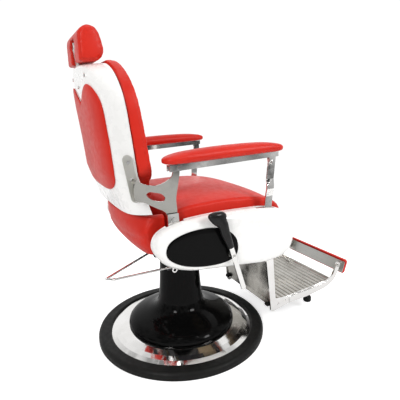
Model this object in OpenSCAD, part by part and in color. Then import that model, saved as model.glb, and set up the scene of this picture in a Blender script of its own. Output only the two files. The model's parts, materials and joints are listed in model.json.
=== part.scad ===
// Hydraulic barber chair. Millimetres, +Z up, origin on the floor at the centre of the base.
// The sitter faces -Y, the sitter's left hand is +X, and the pump lever is on the right, at -X.

/* [Base] */
// Outer radius of the rubber floor ring
ring_r = 326; // [318:1:332]
// Height of the rubber floor ring
ring_h = 30; // [28:1:34]
// Radius of the foot of the black pump cover
bell_r = 207.6; // [200:0.1:210]
// Radius of the lifting ram
ram_r = 25; // [22:0.5:27]

/* [Seat] */
// Half the width of the seat cushion
seat_w = 258; // [250:1:259]
// Height of the top of the seat cushion
seat_top = 594; // [586:1:600]
// Half the width of the padded wrap behind the seat
wrap_w = 226; // [220:1:228]

/* [Back] */
// Half the width of the backrest
back_w = 245; // [238:1:246]
// Height of the top of the backrest's front cushion
back_top = 1022; // [1014:1:1024]
// Depth of the white back shell at its middle
shell_depth = 71; // [68:1:72]

/* [Arms] */
// Distance of the armrest's middle from the middle of the chair
arm_x = 287; // [286:0.5:288]
// Half the width of the armrest pad
arm_w = 37.5; // [34:0.5:37.5]

/* [Footrest] */
// Half the width of the footrest
foot_w = 174; // [172:1:175]
// Number of ribs on the tread
rib_count = 17; // [12:1:18]

/* [Hidden] */
$fn = 48;
fit = 0.05;
recline_pin = [127, 540];
arm_pin = [110, 699];
post_top_pin = [-224, 687];
post_pin = post_top_pin + recline_pin - arm_pin;
foot_pin = [-270, 425];
crank_drop = [0, -55];
back_crank_pin = recline_pin + crank_drop;
foot_crank_pin = foot_pin + crank_drop;
lever_pin = [-46, 412];
loop_pin = [110, 360];
flap_pin = [-668, 188];
headrest_pin = [316.5, 1062];
bar_lean = 6.6;
shell_top = 1004;
base_bolt_circle = 80;
hub_bolt_circle = 70;
rail_x = 190;
rail_bottom = 401;
rail_top = 441;
cover_rim_x = 266;
cover_crown_x = 316;

red = [0.82, 0.12, 0.09];
ivory = [0.95, 0.94, 0.90];
chrome = [0.78, 0.78, 0.80];
steel = [0.55, 0.55, 0.54];
black = [0.06, 0.06, 0.06];
timber = [0.70, 0.56, 0.38];

// ---------- helpers ----------

// Points along a round arc
function arc(c, r, a0, a1, n = 6) =
  [for (i = [0:n]) let (a = a0 + (a1 - a0) * i / n) c + r * [cos(a), sin(a)]];

// One point of a Catmull-Rom curve
function spline_point(a, b, c, d, t) =
  0.5 * (2 * b + (c - a) * t + (2 * a - 5 * b + 4 * c - d) * t * t + (3 * b - a - 3 * c + d) * t * t * t);

// Closed smooth curve through the points p
function smooth_loop(p, n) =
  let (m = len(p))
  [for (i = [0:m - 1], k = [0:n - 1])
    spline_point(p[(i + m - 1) % m], p[i], p[(i + 1) % m], p[(i + 2) % m], k / n)];

// Open smooth curve through the points p
function smooth_path(p, n) =
  let (m = len(p))
  concat([for (i = [0:m - 2], k = [0:n - 1])
    spline_point(p[max(i - 1, 0)], p[i], p[i + 1], p[min(i + 2, m - 1)], k / n)], [p[m - 1]]);

// Outline of a bar with round ends
function bar_outline(p, q, r) =
  let (a = atan2(q[1] - p[1], q[0] - p[0]))
  concat(arc(p, r, a + 90, a + 270, 10), arc(q, r, a - 90, a + 90, 10));

function total(v, i = 0) = i < len(v) ? v[i] + total(v, i + 1) : 0;
function middle(p) = [for (k = [0:2]) total([for (q = p) q[k]]) / len(p)];

// Solid skin over rings of equal length, counter-clockwise seen from the last ring's side
module loft(rings) {
  n = len(rings[0]);
  m = len(rings);
  points = concat([for (r = rings) each r], [middle(rings[0]), middle(rings[m - 1])]);
  sides = [for (i = [0:m - 2], j = [0:n - 1])
    let (a = i * n + j, b = i * n + (j + 1) % n)
    each [[a, b + n, b], [a, a + n, b + n]]];
  first_cap = [for (j = [0:n - 1]) [m * n, j, (j + 1) % n]];
  last_cap = [for (j = [0:n - 1]) [m * n + 1, (m - 1) * n + (j + 1) % n, (m - 1) * n + j]];
  polyhedron(points, concat(sides, first_cap, last_cap));
}

// Plate whose outline lies in the side view (Y, Z), between two distances from the middle plane
module side_plate(outline, x0, x1) {
  translate([x0, 0, 0]) rotate([90, 0, 90]) linear_extrude(x1 - x0) polygon(outline);
}

// The same, with true round holes: each hole is [point, radius]
module drilled_plate(outline, x0, x1, holes) {
  difference() {
    side_plate(outline, x0, x1);
    for (h = holes) cross_rod(h[0], h[1], x0 - 1, x1 + 1);
  }
}

// Round bar across the chair at a point of the side view
module cross_rod(p, r, x0, x1) {
  translate([x0, p[0], p[1]]) rotate([0, 90, 0]) cylinder(h = x1 - x0, r = r);
}

// Round rod between two points in space
module rod(p, q, r) {
  d = q - p;
  translate(p) rotate([0, acos(d[2] / norm(d)), atan2(d[1], d[0])]) cylinder(h = norm(d), r = r);
}

module box(low, high) {
  translate(low) cube(high - low);
}

module both_sides() {
  children();
  mirror([1, 0, 0]) children();
}

// Children are drawn for the left side; the right side is their mirror image
module on_side(side) {
  if (side == "left") children();
  else mirror([1, 0, 0]) children();
}

// ---------- base ----------

// Four places on a circle round the ram, for the bolts of the pump and of the seat's hub
module around_base() {
  for (a = [45:90:315]) rotate(a) translate([base_bolt_circle, 0, 0]) children();
}

module around_hub() {
  for (a = [20:90:290]) rotate(a) translate([hub_bolt_circle, 0, 0]) children();
}

module ballast_plate() {
  color(steel) difference() {
    cylinder(h = 16, r = ring_r - 48.5);
    around_base() translate([0, 0, 4]) cylinder(h = 13, r = 6 + fit);
  }
}

module base_ring() {
  inner = ring_r - 48;
  color(black) rotate_extrude($fn = 96) polygon(concat(
    [[inner, 0], [ring_r - 5, 0]],
    arc([ring_r - 5, 5], 5, -60, 0, 3),
    arc([ring_r - 14, ring_h - 14], 14, 0, 90, 6),
    [[inner + 14, ring_h]],
    arc([inner + 7, ring_h - 7], 7, 90, 180, 4)));
}

module base_plate() {
  edge = ring_r - 48.3;
  top = [[70, 45.5], [190, 46], [220, 43.5], [245, 38], [262, 32], [edge, 24]];
  under = [for (p = top) p - [1.2, 2.5]];
  color(chrome) rotate_extrude($fn = 96) polygon(concat(
    [[70, 43]], [for (i = [0:5]) top[i]], [[edge, 16], [edge - 2.5, 16]],
    [for (i = [5:-1:1]) under[i]]));
}

module pump_cover() {
  outer = smooth_path([[bell_r, 50], [203, 63], [186, 77], [158, 88], [128, 98], [104, 111], [90, 130],
    [84, 160], [79, 225], [76, 290], [75, 338]], 3);
  inner = [for (i = [len(outer) - 1:-1:0]) outer[i] - [3.5, i < 20 ? 2 : 0]];
  color(black) rotate_extrude($fn = 96) polygon(concat([[bell_r - 4, 46.4]], outer, inner));
}

module pump_flange() {
  color(steel) difference() {
    translate([0, 0, 16]) cylinder(h = 12, r = 95);
    around_base() translate([0, 0, 15]) cylinder(h = 14, r = 6 + fit);
  }
}

module base_bolts() {
  color(steel) around_base() {
    translate([0, 0, 28]) cylinder(h = 8, r = 10.5, $fn = 6);
    translate([0, 0, 6]) cylinder(h = 22, r = 6);
  }
}

module pump_cylinder() {
  color(steel) difference() {
    translate([0, 0, 28]) cylinder(h = 302, r = 52);
    translate([0, 0, 42]) cylinder(h = 300, r = 46);
  }
}

module oil_tank() {
  color(steel) difference() {
    translate([0, 0, 28]) cylinder(h = 195, r = 66);
    translate([0, 0, 27]) cylinder(h = 190, r = 63);
    translate([0, 0, 210]) cylinder(h = 20, r = 52 + fit);
  }
}

module gland_bush() {
  color(chrome) difference() {
    union() {
      translate([0, 0, 300]) cylinder(h = 30, r = 46 - fit);
      translate([0, 0, 330]) cylinder(h = 7, r = 52);
    }
    translate([0, 0, 299]) cylinder(h = 40, r = ram_r + fit);
  }
}

// ---------- ram and pump ----------

module ram_rod() {
  color(chrome) difference() {
    translate([0, 0, 60]) cylinder(h = 308, r = ram_r);
    translate([0, 0, 170]) cylinder(h = 200, r = 8 + fit);
  }
}

module ram_piston() {
  color(steel) difference() {
    translate([0, 0, 62]) cylinder(h = 24, r = 46 - fit);
    translate([0, 0, 61]) cylinder(h = 26, r = ram_r + 0.02);
    translate([0, 0, 70]) difference() {
      cylinder(h = 6, r = 50);
      cylinder(h = 6, r = 42);
    }
  }
}

module swivel_bearing() {
  color(steel) difference() {
    translate([0, 0, 368]) cylinder(h = 4, r = 24);
    translate([0, 0, 367]) cylinder(h = 6, r = 10);
  }
}

module pump_plunger() {
  color(chrome) translate([0, 0, 210]) cylinder(h = 192.5, r = 8);
}

// ---------- seat ----------

// Gap through which the pump finger reaches the plunger
module finger_slot(z0, z1) {
  box([-9, -54, z0], [9, 16, z1]);
}

module seat_hub() {
  color(steel) difference() {
    union() {
      translate([0, 0, 342]) cylinder(h = 43, r = 38);
      translate([0, 0, 385]) cylinder(h = 10, r = 85);
    }
    translate([0, 0, 341]) cylinder(h = 31.3, r = ram_r + fit);
    translate([0, 0, 370]) cylinder(h = 30, r = 8.2);
    finger_slot(377, 396);
    around_hub() translate([0, 0, 384]) cylinder(h = 12, r = 5 + fit);
  }
}

module mount_plate() {
  color(steel) difference() {
    box([-205, -90, 395], [205, 90, 401]);
    finger_slot(394, 402);
    around_hub() translate([0, 0, 394]) cylinder(h = 8, r = 5 + fit);
    for (x = [-rail_x, rail_x], y = [-75, 75]) translate([x, y, 394]) cylinder(h = 8, r = 5 + fit);
  }
}

module square_tube(low, high, along) {
  wall = 2.5;
  inset = [for (k = [0:2]) k == along ? -1 : wall];
  difference() {
    box(low, high);
    box(low + inset, high - inset);
  }
}

module seat_frame() {
  color(steel) difference() {
    union() {
      for (x = [-rail_x, rail_x])
        square_tube([x - 10, -290, rail_bottom], [x + 10, 164, rail_top], 1);
      for (y = [-225, 110, 154])
        square_tube([-rail_x + 10, y - 10, rail_bottom], [rail_x - 10, y + 10, rail_top], 0);
      both_sides() {
        cross_rod(foot_pin, 14, rail_x - 12, rail_x + 12);
        box([85, 160, 435], [115, 184, 439]);
      }
      cross_rod(lever_pin, 10.5, -rail_x - 12, -rail_x + 12);
      for (x = [-rail_x, -60]) box([x - 5, 98, 346], [x + 5, 122, rail_bottom]);
    }
    both_sides() cross_rod(foot_pin, 9 + fit, rail_x - 20, rail_x + 20);
    cross_rod(lever_pin, 7 + fit, -rail_x - 20, -rail_x + 20);
    cross_rod(loop_pin, 4 + fit, -rail_x - 20, -40);
    for (x = [-rail_x, rail_x], y = [-75, 75])
      translate([x, y, rail_bottom - 1]) cylinder(h = 5, r = 5 + fit);
  }
}

module seat_deck() {
  color(timber) box([-199, -262, rail_top], [199, 122, rail_top + 12]);
}

// Side profile of the seat cushion, and how far its top drops towards the sides
module seat_cushion() {
  bottom = rail_top + 14;
  top = seat_top;
  profile = smooth_loop([[-266, bottom], [-60, bottom], [95, bottom], [118, bottom + 8], [125, bottom + 38],
    [126, 525], [121, top - 33], [100, top - 12], [20, top - 2], [-70, top], [-150, top - 4],
    [-225, top - 18], [-275, top - 44], [-296, top - 82], [-290, 474]], 3);
  stations = [[-1, 0.965], [-0.985, 0.99], [-0.93, 1], [-0.75, 1], [-0.4, 1], [0, 1], [0.4, 1],
    [0.75, 1], [0.93, 1], [0.985, 0.99], [1, 0.965]];
  color(red) loft([for (s = stations)
    [for (p = profile)
      let (up = max(0, p[1] - bottom), side = pow(abs(s[0]), 3))
      [s[0] * seat_w, -80 + (p[0] + 80) * s[1], bottom + up * (1 - 0.14 * side) * s[1] + 75 * (1 - s[1])]]]);
}

// Padded wrap behind the seat: its faces keep clear of the backrest, which swings round recline_pin
wrap_arc = [[-70, 156], [-60, 149], [-50, 141], [-43, 134], [-39, 122.5], [-25, 122.5], [-15, 122.5],
  [-5, 122.5], [5, 122.5]];

// Its outer radius at [angle, radius in the middle] and x: rounder across at the top than at the bottom
function wrap_outer(p, x) =
  let (side = 15 + 40 * min(1, max(0, (p[0] + 32) / 24)), t = abs(x) / wrap_w)
  p[1] - side * pow(t, 2) - 20 * pow(t, 12);
function wrap_point(a, r, x) = [x, recline_pin[0] + r * cos(a), recline_pin[1] + r * sin(a)];

// One slice of the wrap at x: an outer arc, and inside it an arc, or a straight front on the two cheeks
function wrap_slice(x, cheek) =
  let (n = len(wrap_arc) - 1)
  concat(
    [for (p = wrap_arc) wrap_point(p[0], wrap_outer(p, x), x)],
    [for (i = [n:-1:0]) cheek ? [x, 130 + (i < 2 ? 18 * (2 - i) : 0), 548 - 16.2 * (n - i)]
      : wrap_point(wrap_arc[i][0], wrap_outer(wrap_arc[i], x) - 12, x)]);

module rear_wrap() {
  half = concat([for (x = [0, 60, 115, 150, 175, wrap_w - 26]) [x, false]],
    [for (x = [wrap_w - 25, wrap_w - 18, wrap_w - 9, wrap_w - 3, wrap_w]) [x, true]]);
  n = len(half) - 1;
  color(red) loft(concat([for (i = [n:-1:1]) wrap_slice(-half[i][0], half[i][1])],
    [for (h = half) wrap_slice(h[0], h[1])]));
}

// Outline of the white side cover in the side view: blunt at the front, lower and finer at the rear
cover_outline = smooth_loop([[201, 470], [190, 501], [155, 523], [100, 536], [0, 543], [-110, 543],
  [-205, 538], [-268, 520], [-301, 480], [-310, 432], [-298, 385], [-262, 359], [-190, 349], [-80, 359],
  [20, 368], [100, 380], [160, 405], [189, 437]], 2);
cover_middle = [-50, 446];

// The outline drawn in by a distance
function drawn_in(outline, mid, d, half) =
  [for (p = outline) mid + [(p[0] - mid[0]) * (1 - d / half[0]), (p[1] - mid[1]) * (1 - d / half[1])]];

function cover_ring(x, d) =
  [for (p = drawn_in(cover_outline, cover_middle, d, [258, 97])) [x, p[0], p[1]]];

module side_cover(side, lever_hole) {
  color(ivory) on_side(side) difference() {
    loft([for (s = [[0, 0], [24, 0], [34, 2.5], [42, 7.5], [47, 15], [49.5, 27], [50, 50]])
      cover_ring(cover_rim_x + s[0], s[1])]);
    loft([for (s = [[-1, 3.5], [24, 3.5], [33, 6], [40, 11], [44, 19], [46, 40]])
      cover_ring(cover_rim_x + s[0], s[1])]);
    box([cover_rim_x - 2, 92, 480], [282, 153, 560]);
    box([276, -232, 500], [294.5, -158, 560]);
    if (lever_hole) cross_rod(lever_pin, 8.5, cover_rim_x, cover_crown_x + 5);
  }
}

// Outline of the gloss black eye set in the side cover
eye_outline = smooth_loop([[171, 456], [160, 484], [125, 502], [75, 511], [20, 510], [-30, 496], [-64, 466],
  [-74, 430], [-62, 401], [-20, 388], [50, 390], [115, 405], [158, 430]], 2);
eye_middle = [45, 450];

module eye_panel(side, lever_hole) {
  color(black) on_side(side) difference() {
    loft([for (s = [[0.3, 0], [1.6, 1], [2.6, 6], [3, 20]])
      [for (p = drawn_in(eye_outline, eye_middle, s[1], [122, 62])) [cover_crown_x + s[0], p[0], p[1]]]]);
    if (lever_hole) cross_rod(lever_pin, 8.5, cover_crown_x - 2, cover_crown_x + 5);
  }
}

module rear_posts() {
  color(chrome) both_sides() difference() {
    union() {
      box([rail_x + 10, 100, 403], [rail_x + 15, 127, 449]);
      box([rail_x + 10, 100, 444], [279, 127, 449]);
      side_plate([[100, 444], [127, 444], [141, 495], [146, 520], [147, 561], [112, 561], [109, 515]],
        274, 279);
    }
    cross_rod(recline_pin, 6 + fit, 270, 285);
    cross_rod([113.5, 420], 5 + fit, 190, 210);
  }
}

module post_brackets() {
  y0 = post_pin[0] - 14;
  color(steel) both_sides() difference() {
    union() {
      box([rail_x + 10, y0, 403], [rail_x + 15, y0 + 28, 449]);
      box([rail_x + 10, y0, 444], [284, y0 + 28, 449]);
      box([279, y0, 444], [284, y0 + 28, post_pin[1]]);
      cross_rod(post_pin, 14, 279, 284);
    }
    cross_rod(post_pin, 5 + fit, 270, 290);
    cross_rod([post_pin[0], 420], 5 + fit, 190, 210);
  }
}

// Pins that carry the backrest and the front posts, with flat heads
module pivot_pins() {
  color(chrome) both_sides() {
    cross_rod(recline_pin, 6, 266.6, 279);
    cross_rod(recline_pin, 9, 279, 281.5);
    cross_rod(post_pin, 5, 277, 291.5);
    cross_rod(post_pin, 8, 291.5, 294);
  }
}

module seat_bolts() {
  color(steel) {
    around_hub() {
      translate([0, 0, 385]) cylinder(h = 16, r = 5);
      translate([0, 0, 401]) cylinder(h = 6, r = 8.5, $fn = 6);
    }
    for (x = [-rail_x, rail_x], y = [-75, 75]) translate([x, y, 0]) {
      translate([0, 0, 389]) cylinder(h = 6, r = 8.5, $fn = 6);
      translate([0, 0, 395]) cylinder(h = 8.4, r = 5);
    }
    for (y = [113.5, post_pin[0]]) both_sides() {
      cross_rod([y, 420], 5, rail_x + 10, rail_x + 15);
      cross_rod([y, 420], 8, rail_x + 15, rail_x + 20);
    }
  }
}

module cover_standoffs() {
  color(steel) both_sides() for (p = [[60, 421], [-245, 433]])
    cross_rod(p, 7, rail_x + 10, cover_crown_x - 4.5);
}

// ---------- pump lever and release loop ----------

lever_x = -335;
lever_ends = [[-81.5, 297], [-21, 493]];

module pump_shaft() {
  color(steel) {
    cross_rod(lever_pin, 7, lever_x + 2.6, 6);
    cross_rod(lever_pin, 5, lever_x - 2.5, lever_x + 3);
    side_plate(bar_outline(lever_pin, [-2, 410], 6), -6, 6);
  }
}

module lever_bar() {
  color(chrome) drilled_plate(bar_outline(lever_ends[0], lever_ends[1], 8), lever_x - 2.5, lever_x + 2.5,
    [[lever_pin, 5 + fit]]);
}

// Its sections run up the grip: centre, depth front to rear, width, and how far the section leans
module lever_grip() {
  sections = [[-36, 440.5, 9, 7, 16], [-35.2, 443, 10.7, 8.8, 16], [-26.5, 466.5, 13, 11.5, 16],
    [-16, 494.5, 15.6, 12, 17], [-9.5, 516.5, 17.1, 13, 15], [0, 528.5, 22.5, 13.5, 12], [7, 540, 28, 14, 4],
    [10.5, 548.5, 30.5, 14, 1], [11, 557, 26, 11.5, 0], [9.5, 562.3, 17, 7, 0]];
  color(black) difference() {
    loft([for (s = sections) [for (a = [0:22.5:337.5])
      [lever_x + s[3] * cos(a), s[0] + s[2] * sin(a) * cos(s[4]), s[1] - s[2] * sin(a) * sin(s[4])]]]);
    side_plate(bar_outline(lever_ends[0], lever_ends[1], 8.1), lever_x - 2.6, lever_x + 2.6);
  }
}

// Bent rod that frees the backrest's lock: a pivot rod, a three-sided pull and a clip ring
module release_loop() {
  z = loop_pin[1];
  corners = [[-205, loop_pin[0], z], [-205, 304, z], [-188, 325, z], [-27, loop_pin[0], z]];
  color(chrome) {
    for (i = [0:2]) rod(corners[i], corners[i + 1], 3.7);
    for (i = [1:2]) translate(corners[i] - [0, 0, 4]) cylinder(h = 8, r = 4.6);
    cross_rod(loop_pin, 4, -214, -22);
    translate([-210, loop_pin[0] - 6, z - 9.5]) rotate([0, 90, 0]) difference() {
      cylinder(h = 3, r = 9, center = true);
      cylinder(h = 4, r = 5.5, center = true);
    }
  }
}

// ---------- backrest ----------

// Half the width of a part of the backrest whose swept top corners meet at a peak
function back_half_width(z, peak) =
  let (up = min(1, max(0, (z - 850) / (peak - 850))))
  back_w * pow(1 - pow(up, 2.5), 0.4);

// Front and rear edges of the padded side, in Y, at a height
function front_edge(z) = 187.5 + 0.13 * (z - 800) + 0.00025 * pow(max(0, z - 800), 2);
function rear_edge(z) = 234.5 + 0.115 * (z - 800) - 0.2 * max(0, 680 - z);

// The shell is boxy near its lower edge and evenly round higher up
shell_peak = shell_top + 10;
function boxiness(z) = 0.65 * min(1, max(0, (780 - z) / 210));
function bulge_shape(t, z) = 1 - (1 - boxiness(z)) * pow(abs(t), 4) - boxiness(z) * pow(abs(t), 16);
function shell_bulge(z, depth) = depth - 6 * pow(max(0, (z - shell_top + 10) / 10), 3);
function shell_y(x, z) =
  let (t = min(1, abs(x) / back_half_width(z, shell_peak)))
  rear_edge(z) + shell_bulge(z, shell_depth) * bulge_shape(t, z);

shell_levels = [558, 600, 650, 720, 790, 850, 880, 910, 940, 965, 985, 996, 1001, 1004];
shell_steps = [1, 0.985, 0.95, 0.88, 0.78, 0.62, 0.4, 0];

function shell_ring(z, w, depth, front) = concat(
  [[-w, front, z], [w, front, z]],
  [for (t = shell_steps) [t * w, rear_edge(z) + shell_bulge(z, depth) * bulge_shape(t, z), z]],
  [for (i = [6:-1:0]) let (t = -shell_steps[i])
    [t * w, rear_edge(z) + shell_bulge(z, depth) * bulge_shape(t, z), z]]);

module back_shell() {
  wall = 4;
  inner_levels = concat([556], [for (i = [1:12]) min(shell_levels[i], 1000)]);
  color(ivory) difference() {
    loft([for (z = shell_levels)
      shell_ring(z, back_half_width(z, shell_peak), shell_depth, rear_edge(z) - 0.5)]);
    loft([for (z = inner_levels)
      shell_ring(z, back_half_width(z, shell_peak) - wall, shell_depth - wall, rear_edge(z) - 3)]);
    bar_frame() box([-28, -5.5, -40], [28, 5.5, 40]);
  }
}

// Heart-topped outline of the padded rear panel, in X and Z
panel_half = [[9, 896], [38, 911], [67, 929], [97, 942], [116, 944], [140, 936], [163, 918], [180, 893],
  [186, 860], [186, 800], [189, 730], [191, 684], [184, 658], [165, 640], [134, 628], [93, 622], [45, 619]];
panel_outline = concat([[0, 889]], panel_half,
  [for (i = [len(panel_half) - 1:-1:0]) [-panel_half[i][0], panel_half[i][1]]]);
panel_middle = [0, 775];

function panel_ring(s, lift) =
  [for (p = panel_outline) let (q = panel_middle + (p - panel_middle) * s)
    [q[0], shell_y(q[0], q[1]) + lift, q[1]]];

module back_panel() {
  // From the middle out along the shell, round the edge and back over the face: share of the outline, lift
  rings = [[0.05, 0.5], [0.4, 0.5], [0.75, 0.5], [0.97, 0.5], [1, 1.6], [0.97, 3.6], [0.75, 4.5], [0.4, 4.5],
    [0.05, 4.5]];
  color(red) loft([for (s = rings) panel_ring(s[0], s[1])]);
}

// Half the width of the front cushion: its lower corners are drawn in to pass inside the rear wrap
function cushion_half_width(z) =
  let (low = min(1, max(0, (z - 648) / 42)))
  min(back_half_width(z, back_top + 2) - 2, 192 + 51 * (1 - pow(1 - low, 2)));

// Its rear face is drawn forward at the bottom, so that it swings clear of the wrap
function cushion_rear(z) = rear_edge(z) - 1 - 0.4 * max(0, 650 - z);

module back_cushion() {
  // Height, share of the width, and how far front and rear are drawn in
  levels = [[600, 0.92, 2], [606, 0.98, 0.5], [616, 1, 0], [645, 1, 0], [656, 1, 0], [670, 1, 0],
    [690, 1, 0], [750, 1, 0], [850, 1, 0], [900, 1, 0], [945, 1, 0], [975, 1, 0], [995, 1, 0],
    [1008, 1, 0], [back_top - 6, 1, 2], [back_top - 2, 0.98, 5], [back_top, 0.93, 10]];
  steps = [-1, -0.97, -0.85, -0.5, 0, 0.5, 0.85, 0.97, 1];
  color(red) loft([for (s = levels)
    let (z = s[0], w = cushion_half_width(z) * s[1], inset = s[2])
    concat(
      [for (t = steps) [t * w, front_edge(z) + inset - 16 * (1 - pow(abs(t), 4)) + 4 * pow(abs(t), 20), z]],
      [for (i = [8:-1:0]) [steps[i] * w, cushion_rear(z) - inset - 3 * pow(abs(steps[i]), 20), z]])]);
}

module back_board() {
  half = [[672, 200], [860, 190], [930, 168], [958, 128]];
  outline = concat([for (i = [3:-1:0]) [half[i][0], -half[i][1]]], half);
  lean = atan((rear_edge(958) - rear_edge(672)) / (958 - 672));
  color(timber) translate([0, rear_edge(672) + 1.5, 672]) rotate([-lean, 0, 0]) translate([0, 0, -672])
    rotate([90, 0, 0]) translate([0, 0, -9]) linear_extrude(9)
    polygon([for (p = outline) [p[1], p[0]]]);
}

bracket_outline = smooth_loop([[236, 672], [222, 664], [202, 655], [175, 651], [147, 658], [125, 674],
  [119, 697], [102, 702], [101, 680], [105, 655], [112, 623], [115, 600], [113, 570], [113, 530], [116, 480],
  [138, 480], [142, 530], [150, 566], [172, 580], [196, 594], [218, 606], [238, 612], [243, 640]], 2);
bracket_slot = smooth_loop([[207, 627], [197, 634], [180, 630], [163, 625], [150, 613], [155, 602],
  [175, 604], [194, 612]], 3);
back_bar_ends = [[232, 617], [250, 729]];

module slotted_bracket(side) {
  color(steel) on_side(side) {
    difference() {
      side_plate(bracket_outline, 268, 273);
      side_plate(bracket_slot, 267, 274);
      cross_rod(recline_pin, 6 + fit, 260, 280);
      cross_rod(arm_pin, 5 + fit, 260, 280);
    }
    side_plate([[221, 612], [239, 612], [243, 662], [226, 662]], 253, 268);
    side_plate(bar_outline(back_bar_ends[0], back_bar_ends[1], 14), 247, 253);
    cross_rod(back_crank_pin, 6, 259, 268);
  }
}

module back_screws() {
  color(chrome) {
    both_sides() for (t = [0.06, 0.5, 0.94]) {
      p = back_bar_ends[0] + t * (back_bar_ends[1] - back_bar_ends[0]);
      cross_rod(p, 5, 253, 255.6);
      cross_rod(p + [-5, 0], 4, 228, 247);
    }
    for (p = [[100, 970], [-100, 970], [0, 941]])
      translate([p[0], shell_y(p[0], p[1]) + 0.3, p[1]]) rotate([-90, 0, 0]) cylinder(h = 3, r = 5.5);
  }
}

module bar_frame() {
  translate([0, 316.5, 1000]) rotate([-bar_lean, 0, 0]) children();
}

module headrest_socket() {
  color(steel) bar_frame() difference() {
    box([-30, -6, -150], [30, 6, -34]);
    box([-25.3, -3.3, -151], [25.3, 3.3, -33]);
  }
}

// ---------- headrest ----------

module headrest_bar() {
  color(steel) {
    bar_frame() difference() {
      box([-25, -3, -148], [25, 3, 74]);
      box([6, -4, 58], [26, 4, 76]);
      box([-26, -4, 66], [-14, 4, 76]);
    }
    difference() {
      cross_rod(headrest_pin, 6, -8, 5);
      cross_rod(headrest_pin, 3.5 + fit, -9, 6);
    }
  }
}

module headrest_hinge() {
  color(steel) {
    cross_rod(headrest_pin, 3.5, -40, 40);
    both_sides() side_plate([[299, 1035], [315, 1035], [326, 1055], [324, 1070], [299, 1075]], 27, 30);
    box([-30, 297, 1035], [30, 300, 1075]);
  }
}

module headrest_pad() {
  profile = smooth_loop([[332, 1012], [333, 1050], [332, 1086], [323, 1102], [303, 1113], [281, 1108],
    [268, 1092], [259, 1062], [256, 1040], [262, 1023], [279, 1010], [302, 1008], [322, 1008.5]], 3);
  stations = [[-1, 0.62], [-0.98, 0.8], [-0.93, 0.92], [-0.82, 0.98], [-0.5, 1], [0, 1], [0.5, 1],
    [0.82, 0.98], [0.93, 0.92], [0.98, 0.8], [1, 0.62]];
  color(red) difference() {
    loft([for (s = stations) [for (p = profile)
      [s[0] * 116, 297 + (p[0] - 297) * s[1], 1058 + (p[1] - 1058) * s[1]]]]);
    box([-31, 297, 1000], [31, 350, 1082]);
    box([-41, 309, 1054], [41, 350, 1070]);
  }
}

// ---------- armrests and posts ----------

function rail_z(y) = 709 + (142 - y) * 14 / 391;

module armrest_rail(side) {
  x0 = arm_x - 12;
  x1 = arm_x + 12;
  color(chrome) on_side(side) {
    difference() {
      side_plate([[142, 690], [142, 709], [-241, 722.7], [-241, 706.7]], x0, x1);
      side_plate([[150, 680], [150, 705.5], [-238.5, 719.2], [-238.5, 690]], x0 + 3, x1 - 3);
    }
    for (x = [[x0 + 3, 280.4], [287.6, 290.6]])
      side_plate([[-209, 719], [-212, 690], [-218, 680], [-230, 680], [-235, 690], [-238, 719]], x[0], x[1]);
    cross_rod(arm_pin, 5, 266.5, x1 + 1);
    cross_rod(arm_pin, 7.5, x1 + 1, x1 + 3.5);
    cross_rod(post_top_pin, 5, x0 + 3, 291);
    cross_rod(post_top_pin, 7.5, 291, 294.5);
  }
}

module armrest_pad(side) {
  // Along the pad: position, half width share, top above the rail line, side height
  stations = [[163, 0.10, 16], [160, 0.42, 19], [152, 0.68, 23], [136, 0.88, 28], [105, 0.97, 33],
    [50, 1, 36], [-20, 1, 37.5], [-110, 1, 36.5], [-185, 1, 34], [-224, 0.97, 29.5], [-243, 0.86, 25],
    [-252.5, 0.66, 20.5], [-256.5, 0.40, 17.5], [-258, 0.12, 15]];
  color(red) on_side(side) loft([for (s = stations)
    let (base = rail_z(s[0]) + 0.4, h = s[2], w = arm_w * s[1], low = 12.8 * (1 - pow(s[1], 0.6)))
    [for (a = [0:22.5:337.5])
      let (cx = cos(a), cz = sin(a))
      [arm_x + w * sign(cx) * pow(abs(cx), 0.6),
       s[0],
       base + low + (h - low) * (0.5 + 0.5 * sign(cz) * pow(abs(cz), cz > 0 ? 0.8 : 0.5))]]]);
}

module front_post(side) {
  // The flat bar jogs outwards between its eyes; its outline here is in X and Z
  inner = [[285, post_pin[1] - 13], [285, 575], [288, 600], [287, 612], [281, 632],
    [281, post_top_pin[1] + 11]];
  slope = (post_top_pin[0] - post_pin[0]) / (post_top_pin[1] - post_pin[1]);
  bar = concat(inner, [for (i = [5:-1:0]) inner[i] + [6, 0]]);
  color(chrome) on_side(side) difference() {
    multmatrix([[1, 0, 0, 0], [0, 1, slope, post_pin[0] - slope * post_pin[1]], [0, 0, 1, 0], [0, 0, 0, 1]])
      translate([0, 14, 0]) rotate([90, 0, 0]) linear_extrude(28) polygon(bar);
    cross_rod(post_pin, 5 + fit, 275, 300);
    cross_rod(post_top_pin, 6, 275, 300);
  }
}

// ---------- footrest linkage ----------

module recline_link(side) {
  color(steel) on_side(side) drilled_plate(bar_outline(back_crank_pin, foot_crank_pin, 10), 261, 265.6,
    [[back_crank_pin, 6 + fit], [foot_crank_pin, 6]]);
}

module footrest_axle() {
  color(steel) {
    cross_rod(foot_pin, 9, -260, 260);
    both_sides() {
      side_plate(bar_outline(foot_pin, foot_crank_pin, 12), 254, 260);
      cross_rod(foot_crank_pin, 5, 259, 265.6);
    }
  }
}

module footrest_arms() {
  outline = concat([[-254, 425], [-260, 375], [-283, 310], [-291, 280], [-314, 80]],
    arc([-328, 76], 14, -10, -80, 3),
    [[-404, 80], [-404, 107], [-342, 112], [-336, 120], [-323, 282], [-293, 380], [-286, 425]],
    arc(foot_pin, 16, 170, 10, 6));
  color(chrome) both_sides() {
    drilled_plate(outline, foot_w - 8, foot_w, [[foot_pin, 9 + fit]]);
    for (p = [[-352, 88], [-386, 94]]) cross_rod(p, 5.5, foot_w, foot_w + 2);
  }
}

// Height of the tread's upper face at a distance in front of the base
function tread_z(y) = 100 + 27 * pow(max(0, (-330 - y) / 310), 1.5);

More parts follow.
